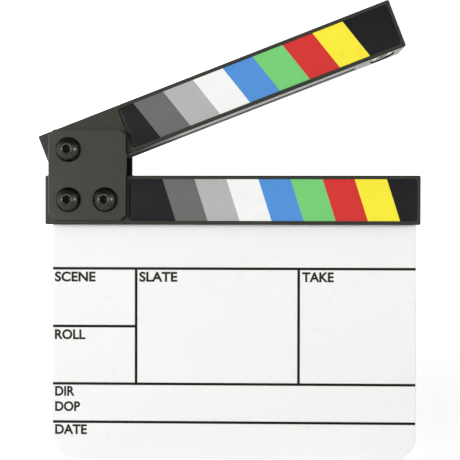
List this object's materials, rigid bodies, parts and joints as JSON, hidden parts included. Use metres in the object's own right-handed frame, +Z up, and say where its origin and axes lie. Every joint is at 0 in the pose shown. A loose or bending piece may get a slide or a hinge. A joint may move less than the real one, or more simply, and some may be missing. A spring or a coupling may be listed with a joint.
{
  "type": "clapperboard",
  "caption": "Film clapperboard: opal writing board under a fixed striped stick, with a hinged striped stick above it that claps shut and is held shut by magnets.",
  "frame": {"origin": "middle of the board's flat bottom edge, halfway through its thickness", "axes": "+X from the hinge to the tips of the sticks, +Y from the printed front to the back, +Z up the board"},
  "size_m": [0.1629, 0.0312, 0.1976],
  "materials": {
    "opal_acrylic": "opal white acrylic sheet, writable, polished edges",
    "black_acetal": "machined black acetal, matt",
    "printed_vinyl": "vinyl label, printed with grey and colour bars",
    "black_oxide_steel": "black oxide on steel",
    "zinc_steel": "bright zinc plate on steel",
    "spring_steel": "tempered spring steel, oiled",
    "natural_nylon": "natural nylon",
    "brass": "turned brass",
    "nickel_plate": "nickel plated disc magnet"
  },
  "bodies": {
    "base": {"slate_board": "opal_acrylic", "lower_stick": "black_acetal", "lower_colour_label": "printed_vinyl", "front_hinge_plate": "black_acetal", "rear_hinge_plate": "black_acetal", "pivot_screw": "black_oxide_steel", "plate_screws": "black_oxide_steel", "pivot_washer": "zinc_steel", "plate_washers": "zinc_steel", "pivot_disc_spring": "spring_steel", "pivot_lock_nut": "zinc_steel", "plate_lock_nuts": "zinc_steel", "pivot_nut_insert": "natural_nylon", "plate_nut_inserts": "natural_nylon", "lower_magnet": "nickel_plate", "lower_magnet_screw": "black_oxide_steel", "board_screws": "black_oxide_steel"},
    "clapper": {"upper_stick": "black_acetal", "upper_colour_label": "printed_vinyl", "pivot_bush": "brass", "front_friction_washer": "natural_nylon", "rear_friction_washer": "natural_nylon", "upper_magnet": "nickel_plate", "upper_magnet_screw": "black_oxide_steel"}
  },
  "joints": [
    {"name": "clapper_hinge", "type": "hinge", "parent": "base", "child": "clapper", "pos_m": [-0.07, -0.0017, 0.134], "axis": [0, -1, 0], "range_deg": [-21.2, 68.8]}
  ]
}
